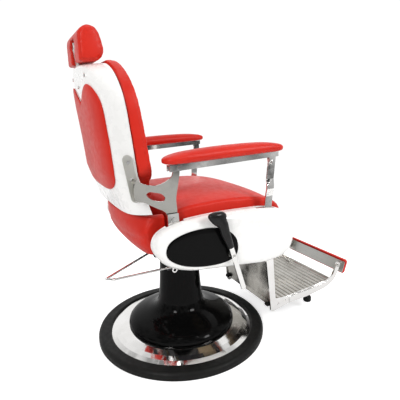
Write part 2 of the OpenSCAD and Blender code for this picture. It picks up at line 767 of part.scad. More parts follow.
module footrest_rails() {
  line = smooth_path([[-406, 92], [-500, 99], [-570, 108], [-620, 122], [-648, 145], [-668, 188]], 3);
  n = len(line) - 1;
  function across(i) = let (d = line[min(n, i + 1)] - line[max(0, i - 1)]) [-d[1], d[0]] / norm(d);
  function half(i) = 13 - 3 * i / n;
  color(chrome) both_sides() difference() {
    union() {
      side_plate(concat([for (i = [0:n]) line[i] + half(i) * across(i)],
        [for (i = [n:-1:0]) line[i] - half(i) * across(i)]), foot_w - 8, foot_w);
      cross_rod(flap_pin, 12, foot_w - 8, foot_w);
      side_plate(concat([for (i = [0:2:8]) [-320 - 35 * i, tread_z(-320 - 35 * i) + 5]],
        [for (i = [8:-2:0]) [-320 - 35 * i, tread_z(-320 - 35 * i) - 21]]), foot_w - 11.5, foot_w - 8);
    }
    cross_rod(flap_pin, 4 + fit, foot_w - 20, foot_w + 10);
  }
}

module footrest_tread() {
  w = foot_w - 12;
  ys = [for (i = [0:12]) -322 - i * 26.5];
  pitch = 312 / (rib_count - 1);
  color(chrome) {
    side_plate(concat([for (y = ys) [y, tread_z(y)]], [for (i = [12:-1:0]) [ys[i], tread_z(ys[i]) - 3]]),
      -w, w);
    for (i = [0:rib_count - 1]) let (y = -328 - i * pitch)
      cross_rod([y, tread_z(y) - 0.5], 4, -w, w);
    box([-w, -321, 84], [w, -317, 103]);
  }
}

module footrest_apron() {
  w = foot_w - 9;
  color(chrome) side_plate([[-290, 318], [-292, 318], [-318, 104], [-316, 104]], -w, w);
}

module footrest_tray() {
  w = foot_w - 12;
  ys = [for (i = [0:10]) -324 - i * 27];
  top = [for (y = ys) [y, tread_z(y) - 5]];
  under = [for (i = [10:-1:0]) top[i] - [0, 15]];
  color(black) side_plate(concat(top, under), -w, w);
}

module footrest_bumpers() {
  z = tread_z(-545) - 20.6;
  color(black) both_sides() {
    translate([125, -545, 30]) rotate_extrude() polygon(concat([[0, 0], [10, 0]], arc([11, 6], 6, -70, 0, 3),
      arc([9, 18], 8, 10, 80, 4), [[4.5, 27], [4.5, z - 30], [0, z - 30]]));
    cross_rod([-309, 92], 7.9, foot_w - 26, foot_w - 12);
  }
}

// ---------- calf flap ----------

module calf_plate() {
  color(steel) {
    side_plate([[-688, 152], [-691, 151], [-704, 196], [-701, 197]], -foot_w - 4, foot_w + 4);
    both_sides() {
      side_plate([[-664, 180], [-664, 196], [-676, 199], [-702, 196], [-690, 160]],
        foot_w - 15, foot_w - 12);
      cross_rod(flap_pin, 4, foot_w - 15, foot_w + 3);
      cross_rod(flap_pin, 7, foot_w + 0.5, foot_w + 3.5);
    }
  }
}

module calf_pad() {
  profile = smooth_loop([[-691.5, 148], [-700, 149], [-708, 166], [-716, 184], [-719, 197], [-713, 206],
    [-705, 208], [-699, 205.5], [-704.6, 197], [-698, 174]], 2);
  stations = [[-1, 0.9], [-0.985, 0.98], [-0.9, 1], [0, 1], [0.9, 1], [0.985, 0.98], [1, 0.9]];
  color(red) loft([for (s = stations)
    [for (i = [0:len(profile) - 1]) let (p = profile[len(profile) - 1 - i])
      [s[0] * (foot_w + 6), -706 + (p[0] + 706) * s[1], 178 + (p[1] - 178) * s[1]]]]);
}

// ---------- assembly ----------

ballast_plate();
base_ring();
base_plate();
pump_cover();
pump_flange();
base_bolts();
pump_cylinder();
oil_tank();
gland_bush();
ram_rod();
ram_piston();
swivel_bearing();
pump_plunger();
seat_hub();
mount_plate();
seat_frame();
seat_deck();
seat_cushion();
rear_wrap();
side_cover("right", true);  // side_cover_right
side_cover("left", false);  // side_cover_left
eye_panel("right", true);  // eye_panel_right
eye_panel("left", false);  // eye_panel_left
rear_posts();
post_brackets();
pivot_pins();
seat_bolts();
cover_standoffs();
pump_shaft();
lever_bar();
lever_grip();
release_loop();
back_shell();
back_panel();
back_cushion();
back_board();
slotted_bracket("right");  // slotted_bracket_right
slotted_bracket("left");  // slotted_bracket_left
back_screws();
headrest_socket();
headrest_bar();
headrest_hinge();
headrest_pad();
armrest_rail("right");  // armrest_rail_right
armrest_rail("left");  // armrest_rail_left
armrest_pad("right");  // armrest_pad_right
armrest_pad("left");  // armrest_pad_left
front_post("right");  // front_post_right
front_post("left");  // front_post_left
recline_link("right");  // recline_link_right
recline_link("left");  // recline_link_left
footrest_axle();
footrest_arms();
footrest_rails();
footrest_tread();
footrest_apron();
footrest_tray();
footrest_bumpers();
calf_plate();
calf_pad();
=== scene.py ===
"""Looks of a hydraulic barber chair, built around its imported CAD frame.

Metres, +Z up, the sitter faces -Y, the sitter's left hand is +X. The shapes that repeat the design's own
curves are written in millimetres, as in the design, and turned into metres when their mesh is made.
"""

import math

import bmesh
import bpy
import numpy as np
from mathutils import Matrix, Vector
from mathutils.bvhtree import BVHTree
from mathutils.kdtree import KDTree
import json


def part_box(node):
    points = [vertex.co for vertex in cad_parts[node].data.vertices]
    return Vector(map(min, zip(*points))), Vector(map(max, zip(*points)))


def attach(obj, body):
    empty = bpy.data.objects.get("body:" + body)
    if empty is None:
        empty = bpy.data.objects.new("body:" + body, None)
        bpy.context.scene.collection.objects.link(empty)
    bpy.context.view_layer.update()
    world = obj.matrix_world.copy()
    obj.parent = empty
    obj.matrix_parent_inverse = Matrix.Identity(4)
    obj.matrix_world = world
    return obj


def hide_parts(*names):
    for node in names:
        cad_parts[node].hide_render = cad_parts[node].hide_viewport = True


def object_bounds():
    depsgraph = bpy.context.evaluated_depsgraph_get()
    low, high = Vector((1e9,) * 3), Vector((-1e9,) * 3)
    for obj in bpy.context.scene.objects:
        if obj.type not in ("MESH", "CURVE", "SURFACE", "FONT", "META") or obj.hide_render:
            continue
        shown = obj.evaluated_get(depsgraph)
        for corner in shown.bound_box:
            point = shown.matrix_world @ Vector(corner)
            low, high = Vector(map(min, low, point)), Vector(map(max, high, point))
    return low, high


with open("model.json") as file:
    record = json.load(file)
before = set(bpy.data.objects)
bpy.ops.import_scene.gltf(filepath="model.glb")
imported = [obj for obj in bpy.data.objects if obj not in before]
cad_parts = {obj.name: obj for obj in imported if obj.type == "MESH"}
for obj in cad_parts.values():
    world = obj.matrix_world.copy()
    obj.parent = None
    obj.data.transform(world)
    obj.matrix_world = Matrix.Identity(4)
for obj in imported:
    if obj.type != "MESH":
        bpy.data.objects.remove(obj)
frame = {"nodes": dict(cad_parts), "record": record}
cad_low, cad_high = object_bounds()

MM = 0.001
SIDES = {"right": -1, "left": 1}
scene = bpy.context.scene


# ---------- small helpers ----------


def clamp(value, low=0.0, high=1.0):
    return max(low, min(high, value))


def spline_point(a, b, c, d, t):
    """One point of a Catmull-Rom curve, between b and c"""
    a, b, c, d = (np.array(p, float) for p in (a, b, c, d))
    return 0.5 * (2 * b + (c - a) * t + (2 * a - 5 * b + 4 * c - d) * t**2 + (3 * b - a - 3 * c + d) * t**3)


def smooth_loop(points, steps):
    """Closed smooth curve through the points"""
    n = len(points)
    return [
        spline_point(points[i - 1], points[i], points[(i + 1) % n], points[(i + 2) % n], k / steps)
        for i in range(n)
        for k in range(steps)
    ]


def smooth_path(points, steps):
    """Open smooth curve through the points"""
    last = len(points) - 1
    curve = [
        spline_point(points[max(i - 1, 0)], points[i], points[i + 1], points[min(i + 2, last)], k / steps)
        for i in range(last)
        for k in range(steps)
    ]
    return curve + [np.array(points[last], float)]


def mm_box(node):
    """A CAD node's lowest and highest corner, in millimetres"""
    low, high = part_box(node)
    return low / MM, high / MM


def new_object(name, points, faces):
    """A smooth-shaded mesh object from points in millimetres"""
    mesh = bpy.data.meshes.new(name)
    mesh.from_pydata([tuple(float(v) * MM for v in p) for p in points], [], faces)
    mesh.validate()
    made = bpy.data.objects.new(name, mesh)
    scene.collection.objects.link(made)
    tidy = bmesh.new()
    tidy.from_mesh(mesh)
    bmesh.ops.recalc_face_normals(tidy, faces=tidy.faces)
    tidy.to_mesh(mesh)
    tidy.free()
    mesh.polygons.foreach_set("use_smooth", [True] * len(mesh.polygons))
    return made


def loft(name, rings):
    """Closed skin over rings of equal length, with a fan at each end"""
    n, m = len(rings[0]), len(rings)
    points = [p for ring in rings for p in ring]
    faces = [
        (i * n + j, i * n + (j + 1) % n, (i + 1) * n + (j + 1) % n, (i + 1) * n + j)
        for i in range(m - 1)
        for j in range(n)
    ]
    for ring, start in ((rings[0], 0), (rings[-1], (m - 1) * n)):
        points.append(np.mean([np.array(p, float) for p in ring], axis=0))
        faces += [(start + j, start + (j + 1) % n, len(points) - 1) for j in range(n)]
    return new_object(name, points, faces)


def walled(name, grid, wall):
    """Closed shell whose outer face is a grid of points, wall millimetres thick to the inside"""
    outer = np.array(grid, float)
    along, across = np.gradient(outer, axis=0), np.gradient(outer, axis=1)
    normal = np.cross(along, across)
    normal /= np.maximum(np.linalg.norm(normal, axis=2, keepdims=True), 1e-9)
    middle = outer.reshape(-1, 3).mean(0)
    if np.sum(normal * (outer - middle)) < 0:
        normal = -normal
    inner = outer - normal * wall
    rows, columns = outer.shape[:2]
    count = rows * columns

    def at(i, j, layer):
        return layer * count + i * columns + j

    faces = [
        (at(i, j, k), at(i, j + 1, k), at(i + 1, j + 1, k), at(i + 1, j, k))
        for k in (0, 1)
        for i in range(rows - 1)
        for j in range(columns - 1)
    ]
    for i in (0, rows - 1):
        faces += [(at(i, j, 0), at(i, j + 1, 0), at(i, j + 1, 1), at(i, j, 1)) for j in range(columns - 1)]
    for j in (0, columns - 1):
        faces += [(at(i, j, 0), at(i + 1, j, 0), at(i + 1, j, 1), at(i, j, 1)) for i in range(rows - 1)]
    return new_object(name, list(outer.reshape(-1, 3)) + list(inner.reshape(-1, 3)), faces)


def box_between(name, low, high):
    """Block between two corners, for cutting"""
    corners = [(x, y, z) for x in (low[0], high[0]) for y in (low[1], high[1]) for z in (low[2], high[2])]
    faces = [(0, 1, 3, 2), (4, 5, 7, 6), (0, 1, 5, 4), (2, 3, 7, 6), (0, 2, 6, 4), (1, 3, 7, 5)]
    return new_object(name, corners, faces)


def cross_rod(name, centre, radius, x0, x1):
    """Round bar across the chair, for cutting"""
    angles = [math.tau * k / 48 for k in range(48)]
    return loft(
        name,
        [[(x, centre[0] + radius * math.cos(a), centre[1] + radius * math.sin(a)) for a in angles] for x in (x0, x1)],
    )


def baked(made):
    """The object with its modifiers applied"""
    evaluated = made.evaluated_get(bpy.context.evaluated_depsgraph_get())
    mesh = bpy.data.meshes.new_from_object(evaluated)
    old = made.data
    made.modifiers.clear()
    made.data = mesh
    bpy.data.meshes.remove(old)
    mesh.name = made.name
    mesh.polygons.foreach_set("use_smooth", [True] * len(mesh.polygons))
    return made


def cut(made, *cutters):
    """Takes the cutters out of the object"""
    for cutter in cutters:
        boolean = made.modifiers.new("cut", "BOOLEAN")
        boolean.operation = "DIFFERENCE"
        boolean.solver = "EXACT"
        boolean.object = cutter
    bpy.context.view_layer.update()
    baked(made)
    for cutter in cutters:
        bpy.data.objects.remove(cutter)
    return made


def eased_edges(made, width, angle=32):
    """Small rounded edges that catch the light, on a form with sharp corners"""
    weld = made.modifiers.new("weld", "WELD")
    weld.merge_threshold = 2e-5
    bevel = made.modifiers.new("eased edges", "BEVEL")
    bevel.width = width * MM
    bevel.segments = 2
    bevel.limit_method = "ANGLE"
    bevel.angle_limit = math.radians(angle)
    bevel.harden_normals = True
    return made


def mirrored(points, sign):
    return [(sign * p[0], p[1], p[2]) for p in points]


# ---------- materials ----------


class Finish:
    """A Principled material whose colour, roughness and relief come from nodes"""

    def __init__(self, name, color, roughness, metallic=0.0, **sockets):
        self.material = bpy.data.materials.new(name)
        self.material.use_nodes = True
        self.tree = self.material.node_tree
        self.shader = self.tree.nodes["Principled BSDF"]
        self.color, self.normal = color, None
        self.shader.inputs["Base Color"].default_value = (*color, 1)
        self.shader.inputs["Roughness"].default_value = roughness
        self.shader.inputs["Metallic"].default_value = metallic
        for socket, value in sockets.items():
            self.shader.inputs[socket.replace("_", " ")].default_value = value
        self.place = self.tree.nodes.new("ShaderNodeTexCoord").outputs["Object"]

    def node(self, kind, inputs=None, **properties):
        made = self.tree.nodes.new(kind)
        for key, value in properties.items():
            setattr(made, key, value)
        for key, value in (inputs or {}).items():
            if isinstance(value, bpy.types.NodeSocket):
                self.tree.links.new(value, made.inputs[key])
            else:
                made.inputs[key].default_value = value
        return made

    def stretched(self, scale, turn=(0, 0, 0)):
        """The object's own coordinates, scaled unevenly for streaks and grain"""
        return self.node("ShaderNodeMapping", {"Vector": self.place, "Scale": scale, "Rotation": turn}).outputs[0]

    def noise(self, scale, detail=3.0, place=None, rough=0.55):
        inputs = {"Vector": place or self.place, "Scale": scale, "Detail": detail, "Roughness": rough}
        return self.node("ShaderNodeTexNoise", inputs).outputs["Fac"]

    def cells(self, scale, place=None):
        """Distance to the nearest edge between pebble-like cells"""
        inputs = {"Vector": place or self.place, "Scale": scale}
        return self.node("ShaderNodeTexVoronoi", inputs, feature="DISTANCE_TO_EDGE").outputs["Distance"]

    def spread(self, value, from_low, from_high, to_low, to_high):
        inputs = {"Value": value, "From Min": from_low, "From Max": from_high, "To Min": to_low, "To Max": to_high}
        return self.node("ShaderNodeMapRange", inputs, interpolation_type="SMOOTHSTEP").outputs[0]

    def shades(self, value, *colors):
        """Base colour along a ramp of colours"""
        ramp = self.node("ShaderNodeValToRGB", {"Fac": value})
        elements = ramp.color_ramp.elements
        elements[0].position, elements[1].position = 0.3, 0.7
        elements[0].color, elements[1].color = (*colors[0], 1), (*colors[-1], 1)
        for k, color in enumerate(colors[1:-1], 1):
            elements.new(0.3 + 0.4 * k / (len(colors) - 1)).color = (*color, 1)
        self.tree.links.new(ramp.outputs["Color"], self.shader.inputs["Base Color"])
        return self

    def matt(self, value, low, high):
        """Roughness between two values, following a texture"""
        self.tree.links.new(self.spread(value, 0.3, 0.7, low, high), self.shader.inputs["Roughness"])
        return self

    def relief(self, value, depth, strength=1.0):
        """Bump of a depth in millimetres, added to what is there"""
        inputs = {"Height": value, "Distance": depth * MM, "Strength": strength}
        if self.normal is not None:
            inputs["Normal"] = self.normal
        self.normal = self.node("ShaderNodeBump", inputs).outputs["Normal"]
        self.tree.links.new(self.normal, self.shader.inputs["Normal"])
        return self


def scaled(color, factor):
    return tuple(c * factor for c in color)


def make_vinyl():
    """Smooth-grained upholstery vinyl: fine pebbles, a soft sheen and a little handling wear"""
    red = (0.62, 0.021, 0.010)
    made = Finish("vinyl_red", red, 0.46, Specular_IOR_Level=0.22)
    made.shades(made.noise(7, 4), scaled(red, 0.90), red, (0.65, 0.026, 0.013))
    made.matt(made.noise(60, 3), 0.36, 0.47)
    pebbles = made.spread(made.cells(620, made.stretched((1, 1, 0.8))), 0.0, 0.12, 0.0, 1.0)
    made.relief(pebbles, 0.05, 0.22)
    made.relief(made.noise(2200, 2), 0.02, 0.2)
    return made.material


def make_thread():
    made = Finish("thread_red", (0.60, 0.03, 0.02), 0.6)
    made.shades(made.noise(900, 2), (0.52, 0.02, 0.015), (0.66, 0.05, 0.03))
    made.relief(made.noise(3000, 2), 0.05, 0.5)
    return made.material


def make_ivory():
    """Gloss ivory moulding with a trace of orange peel"""
    ivory = (0.96, 0.955, 0.935)
    made = Finish("gloss_ivory", ivory, 0.28, Coat_Weight=0.8, Coat_Roughness=0.04)
    made.shades(made.noise(5, 2), scaled(ivory, 0.99), (0.965, 0.96, 0.94))
    made.matt(made.noise(40, 2), 0.24, 0.32)
    made.relief(made.noise(160, 1), 0.02, 0.06)
    return made.material


def make_gloss_black():
    """Polished black lacquer, mirror-like, with faint dust"""
    made = Finish("gloss_black", (0.005, 0.005, 0.005), 0.12, Coat_Weight=0.22, Coat_Roughness=0.02,
                  Coat_IOR=1.35, Specular_IOR_Level=0.02)
    made.shades(made.noise(900, 3), (0.002, 0.002, 0.002), (0.004, 0.004, 0.004))
    made.matt(made.noise(26, 3), 0.09, 0.16)
    made.relief(made.noise(120, 1), 0.04, 0.08)
    return made.material


def make_chrome():
    """Chrome plate: near-mirror with light polishing haze"""
    made = Finish("chrome", (0.84, 0.83, 0.81), 0.07, metallic=1.0)
    made.shades(made.noise(14, 3), (0.80, 0.79, 0.77), (0.87, 0.86, 0.85))
    made.matt(made.noise(55, 4), 0.05, 0.12)
    made.relief(made.noise(420, 2, made.stretched((1, 0.15, 1))), 0.015, 0.10)
    return made.material


def make_back_bracket():
    """Polished slotted plate whose screwed root bar keeps its satin finish"""
    made = Finish("chrome_and_satin", (0.60, 0.59, 0.55), 0.08, metallic=1.0)
    along = made.node("ShaderNodeSeparateXYZ", {"Vector": made.place})
    outward = made.node("ShaderNodeMath", {0: along.outputs["X"]}, operation="ABSOLUTE").outputs[0]
    root_face = mm_box("slotted_bracket_left")[1].x * MM - 0.0185
    polished = made.spread(outward, root_face, root_face + 0.001, 0.0, 1.0)
    satin = made.spread(made.noise(90, 3), 0.3, 0.7, 0.40, 0.50)
    mirror = made.spread(made.noise(60, 3), 0.3, 0.7, 0.06, 0.12)
    mixed = made.node("ShaderNodeMix", {"Factor": polished, 2: satin, 3: mirror}, data_type="FLOAT")
    made.tree.links.new(mixed.outputs[0], made.shader.inputs["Roughness"])
    made.relief(made.noise(800, 2, made.stretched((1, 1, 0.06))), 0.02, 0.2)
    return made.material


def make_brushed_steel():
    """Steel with a fine grain along its length"""
    made = Finish("brushed_steel", (0.55, 0.545, 0.52), 0.33, metallic=1.0)
    grain = made.noise(900, 3, made.stretched((0.05, 1, 1)))
    made.shades(grain, (0.50, 0.495, 0.47), (0.60, 0.595, 0.57))
    made.matt(grain, 0.27, 0.42)
    made.relief(grain, 0.02, 0.25)
    return made.material


def make_tread_steel():
    """Polished stainless sheet, a little scuffed by shoes"""
    made = Finish("tread_steel", (0.50, 0.485, 0.45), 0.18, metallic=1.0)
    made.shades(made.noise(18, 4), (0.43, 0.415, 0.38), (0.56, 0.545, 0.51))
    made.matt(made.noise(35, 5), 0.14, 0.28)
    made.relief(made.noise(260, 4, made.stretched((0.2, 1, 1))), 0.02, 0.2)
    return made.material


def make_rubber():
    """Satin black rubber, with the bloom and scuffs of a floor ring"""
    made = Finish("rubber_black", (0.009, 0.009, 0.009), 0.5, Specular_IOR_Level=0.15)
    made.shades(made.noise(22, 5), (0.006, 0.006, 0.006), (0.012, 0.012, 0.011))
    made.matt(made.noise(70, 4), 0.38, 0.56)
    made.relief(made.noise(1500, 3), 0.06, 0.4)
    return made.material


def make_painted_steel():
    made = Finish("painted_steel", (0.03, 0.03, 0.033), 0.4)
    made.shades(made.noise(30, 3), (0.024, 0.024, 0.027), (0.038, 0.038, 0.041))
    made.matt(made.noise(50, 3), 0.33, 0.48)
    made.relief(made.noise(700, 2), 0.05, 0.3)
    return made.material


def make_cast_iron():
    made = Finish("cast_iron", (0.16, 0.16, 0.16), 0.7, metallic=0.6)
    made.shades(made.noise(60, 5), (0.10, 0.10, 0.10), (0.21, 0.205, 0.20))
    made.matt(made.noise(90, 4), 0.6, 0.8)
    made.relief(made.noise(450, 5), 0.35, 0.6)
    return made.material


def make_plywood():
    made = Finish("plywood", (0.60, 0.45, 0.28), 0.65)
    grain = made.noise(14, 6, made.stretched((12, 1, 12)))
    made.shades(grain, (0.46, 0.31, 0.17), (0.62, 0.47, 0.29), (0.70, 0.56, 0.38))
    made.relief(grain, 0.15, 0.4)
    return made.material


def make_grip():
    """Soft black grip with a fine leather-like mould texture"""
    made = Finish("grip_black", (0.005, 0.005, 0.005), 0.33, Coat_Weight=0.15, Coat_Roughness=0.12,
                  Specular_IOR_Level=0.2)
    made.shades(made.noise(200, 3), (0.004, 0.004, 0.004), (0.008, 0.008, 0.008))
    made.matt(made.noise(80, 3), 0.27, 0.40)
    made.relief(made.spread(made.cells(900), 0.0, 0.12, 0.0, 1.0), 0.06, 0.3)
    return made.material


MATERIALS = {
    "vinyl_red": make_vinyl(),
    "gloss_ivory": make_ivory(),
    "gloss_black": make_gloss_black(),
    "chrome": make_chrome(),
    "brushed_steel": make_brushed_steel(),
    "rubber_black": make_rubber(),
    "painted_steel": make_painted_steel(),
    "cast_iron": make_cast_iron(),
    "plywood": make_plywood(),
    "grip_black": make_grip(),
}
THREAD = make_thread()
SPECIAL_MATERIALS = {
    "slotted_bracket_right": make_back_bracket(),
    "footrest_tread": make_tread_steel(),
}
SPECIAL_MATERIALS["slotted_bracket_left"] = SPECIAL_MATERIALS["slotted_bracket_right"]
SPECIAL_MATERIALS["footrest_apron"] = SPECIAL_MATERIALS["footrest_tread"]


def paint(made, material):
    made.data.materials.clear()
    made.data.materials.append(material)
    return made


def dressed(made, body, slot, *nodes):
    """The piece takes its slot's material, rides on a body and stands for CAD nodes"""
    if not made.data.materials:
        paint(made, MATERIALS[slot])
    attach(made, body)
    if nodes:
        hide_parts(*nodes)
    return made


def dress_frame():
    """Every CAD node gets its slot's material, and plates get eased edges"""
    flat_forms = ("slotted_bracket", "front_post", "armrest_rail", "footrest_arms", "footrest_rails", "lever_bar")
    for part in frame["record"]["subparts"]:
        node = frame["nodes"][part["node"]]
        paint(node, SPECIAL_MATERIALS.get(part["node"], MATERIALS[part["material_slot"]]))
        if part["node"].startswith(flat_forms):
            eased_edges(node, 0.7)


# ---------- padded pieces ----------

VOXEL = 5.5  # spacing of the cloth's points
PUFF_FRAMES = 20


class Pad:
    """A stuffed form: a plain closed loft, the lines where it is sewn, and where it is held down"""

    def __init__(self, made, body, node, seams, held=None, cap=6.0, fill=0.8, stitched=()):
        self.made, self.body, self.node = made, body, node
        self.seams, self.held, self.cap, self.fill, self.stitched = seams, held, cap, fill, stitched
        self.even_out()

    def even_out(self):
        """Even quads over the whole form, so that it swells evenly"""
        remesh = self.made.modifiers.new("even", "REMESH")
        remesh.mode = "VOXEL"
        remesh.voxel_size = VOXEL * MM
        smooth = self.made.modifiers.new("soft", "SMOOTH")
        smooth.iterations = 2
        smooth.factor = 0.4
        baked(self.made)

    def points(self):
        flat = np.zeros(len(self.made.data.vertices) * 3)
        self.made.data.vertices.foreach_get("co", flat)
        return flat.reshape(-1, 3)

    def seam_tree(self):
        """Lookup of the nearest sewn point, with its distance along the seam"""
        samples = []
        for seam in self.seams:
            length = 0.0
            for a, b in zip(seam[:-1], seam[1:]):
                a, b = np.array(a, float), np.array(b, float)
                steps = max(1, int(np.linalg.norm(b - a) / 1.5))
                for k in range(steps):
                    samples.append(((a + (b - a) * k / steps) * MM, length + np.linalg.norm(b - a) * k / steps))
                length += np.linalg.norm(b - a)
        tree = KDTree(max(1, len(samples)))
        for k, (place, _) in enumerate(samples):
            tree.insert(place, k)
        tree.balance()
        return tree, samples

    def seam_distance(self, points):
        """Millimetres from each point to the nearest seam, and how far along it"""
        if not self.seams:
            return np.full(len(points), 1e3), np.zeros(len(points))
        tree, samples = self.seam_tree()
        found = [tree.find(p) for p in points]
        return np.array([f[2] for f in found]) / MM, np.array([samples[f[1]][1] for f in found])

    def add_cloth(self):
        """Pressure swells the form; its seams and its hidden faces are held"""
        points = self.points()
        distance, _ = self.seam_distance(points)
        hold = np.clip(1.6 - distance / VOXEL, 0, 1)
        if self.held:
            hold = np.maximum(hold, [self.held(*(p / MM)) for p in points])
        group = self.made.vertex_groups.new(name="held")
        for k in np.nonzero(hold > 0.01)[0]:
            group.add([int(k)], float(hold[k]), "REPLACE")
        cloth = self.made.modifiers.new("cloth", "CLOTH")
        settings = cloth.settings
        settings.quality = 4
        settings.mass = 0.3
        settings.use_pressure = True
        settings.uniform_pressure_force = 4
        settings.effector_weights.gravity = 0
        settings.vertex_group_mass = "held"
        cloth.collision_settings.use_collision = False
        cloth.point_cache.frame_start = 1
        cloth.point_cache.frame_end = PUFF_FRAMES
        self.start = points

    def keep_cloth(self):
        """Keeps the swollen shape, with each point's travel eased off towards the cap"""
        baked(self.made)
        self.made.vertex_groups.clear()
        travel = (self.points() - self.start) / MM
        length = np.maximum(np.linalg.norm(travel, axis=1, keepdims=True), 1e-6)
        eased = self.start + travel * (self.cap * np.tanh(length / self.cap) / length) * MM
        self.made.data.vertices.foreach_set("co", eased.ravel())

    def finish(self):
        """Finer mesh, sunk seams with puckers beside them, stitches, and the piece's place in the frame"""
        finer = self.made.modifiers.new("finer", "SUBSURF")
        finer.levels = finer.render_levels = 1
        baked(self.made)
        mesh = self.made.data
        points = self.points()
        normals = np.zeros(len(points) * 3)
        mesh.vertices.foreach_get("normal", normals)
        normals = normals.reshape(-1, 3)
        distance, along = self.seam_distance(points)
        sunk = -1.5 * np.exp(-((distance / 2.6) ** 2))
        ripple = np.sin(along * 0.55) * np.sin(along * 0.083 + 1.0) + 0.6 * np.sin(along * 0.31 + 2.0)
        pucker = 0.22 * ripple * np.exp(-((distance - 7) ** 2) / 50)
        mesh.vertices.foreach_set("co", (points + normals * ((sunk + pucker) * MM)[:, None]).ravel())
        mesh.update()
        dressed(self.made, self.body, "vinyl_red", self.node)
        if self.stitched:
            self.stitch()

    def stitch(self):
        """Short threads laid on the surface, a few millimetres beside each seam"""
        pitch, length, radius = 6.5, 4.4, 0.38
        tree = BVHTree.FromObject(self.made, bpy.context.evaluated_depsgraph_get())
        points, faces = [], []
        for line in self.stitched:
            line = [np.array(p, float) for p in line]
            sizes = [np.linalg.norm(b - a) for a, b in zip(line[:-1], line[1:])]
            ends = np.concatenate([[0], np.cumsum(sizes)])
            for s in np.arange(pitch / 2, ends[-1], pitch):
                k = int(np.searchsorted(ends, s)) - 1
                way = (line[k + 1] - line[k]) / max(sizes[k], 1e-6)
                place = line[k] + way * (s - ends[k])
                spot, up, _, _ = tree.find_nearest(place * MM)
                if spot is None or (spot / MM - Vector(place)).length > 12:
                    continue
                spot, up = np.array(spot) / MM, np.array(up)
                side = np.cross(up, way)
                side /= max(np.linalg.norm(side), 1e-6)
                first = len(points)
                for t, r in ((-0.5, 0.3), (-0.38, 1), (0.38, 1), (0.5, 0.3)):
                    rise = 0.5 * radius * (1 if abs(t) < 0.45 else -1)
                    for a in (math.tau * j / 6 for j in range(6)):
                        ring = radius * r * (math.cos(a) * side + math.sin(a) * up)
                        points.append(spot + way * t * length + ring + up * rise)
                for i in range(3):
                    low = first + i * 6
                    faces += [(low + j, low + (j + 1) % 6, low + 6 + (j + 1) % 6, low + 6 + j) for j in range(6)]
                faces += [tuple(first + j for j in range(6)), tuple(first + 18 + j for j in range(6))]
        made = new_object(self.made.name + "_stitching", points, faces)
        paint(made, THREAD)
        dressed(made, self.body, "vinyl_red")


def swell(pads):
    """Runs every pad's cloth together, in one pass over the frames"""
    for pad in pads:
        pad.add_cloth()
    for step in range(1, PUFF_FRAMES + 1):
        scene.frame_set(step)
    for pad in pads:
        pad.keep_cloth()
    scene.frame_set(1)


def rounded_ends(half, radius, steps, inner_steps):
    """Stations across a form from one end to the other: place, and how far the outline is drawn in there"""
    ends = [
        (half - radius * (1 - math.sin(a)), radius * (1 - math.cos(a)))
        for a in (math.pi / 2 * (1 - k / steps) for k in range(steps))
    ]
    inner = [(half - radius) * (1 - 2 * k / inner_steps) for k in range(inner_steps + 1)]
    right = [(-x, inset) for x, inset in reversed(ends)]
    return ends + [(x, 0.0) for x in inner] + right


# ---------- seat ----------

seat_low, seat_high = mm_box("seat_cushion")
SEAT_SLACK = 5.0  # the plain form starts this much inside its space, and swells into it


def seat_profile(steps):
    """Side profile of the seat cushion, in Y and Z"""
    bottom, top = seat_low.z, seat_high.z
    return smooth_loop(
        [(-266, bottom), (-60, bottom), (95, bottom), (118, bottom + 8), (125, bottom + 38), (126, 525),
         (121, top - 33), (100, top - 12), (20, top - 2), (-70, top), (-150, top - 4), (-225, top - 18),
         (-275, top - 44), (-296, top - 82), (-290, 474)], steps)


def drawn_in(outline, middle, inset, half):
    """An outline drawn towards its middle by a distance"""
    return [
        (middle[0] + (p[0] - middle[0]) * (1 - inset / half[0]), middle[1] + (p[1] - middle[1]) * (1 - inset / half[1]))
        for p in outline
    ]


def seat_slice(x, inset, steps=6):
    """The seat's outline at x: its top falls away towards the sides"""
    bottom = seat_low.z
    fall = 1 - 0.14 * abs(x / seat_high.x) ** 3
    profile = drawn_in(seat_profile(steps), (-80, bottom + 75), inset, (206, 78))
    return [(x, y, bottom + 1.5 + max(0.0, z - bottom - 1.5) * fall) for y, z in profile]


def make_seat_cushion():
    half = seat_high.x - SEAT_SLACK
    stations = rounded_ends(half, 11, 5, 24)
    made = loft("seat_pad", [seat_slice(x, inset + SEAT_SLACK - 1) for x, inset in stations])
    edges = [seat_slice(sign * (half - 3.5), SEAT_SLACK + 1.5) for sign in (-1, 1)]
    seams = [edge + edge[:1] for edge in edges]
    rows = [seat_slice(sign * (half - 10), SEAT_SLACK) for sign in (-1, 1)]
    stitched = [[p for p in row if p[2] > seat_low.z + 40] for row in rows]

    def held(x, y, z):
        return clamp((seat_low.z + 9 - z) / 5)

    return Pad(made, "seat", "seat_cushion", seams, held, cap=8, fill=0.85, stitched=stitched)


RECLINE_PIN = (127.0, 540.0)
WRAP_HEM = -106.0  # the wrap is held down below this height, measured from the recline pin
wrap_half = mm_box("rear_wrap")[1].x


def wrap_radius(angle, x):
    """Outer radius of the wrap round the recline pin, at an angle in degrees"""
    middle = np.interp(angle, [-70, -60, -50, -43, -39, 5], [156, 149, 141, 134, 122.5, 122.5])
    part = abs(x) / wrap_half
    return float(middle) - (15 + 40 * clamp((angle + 32) / 24)) * part**2 - 20 * part**12


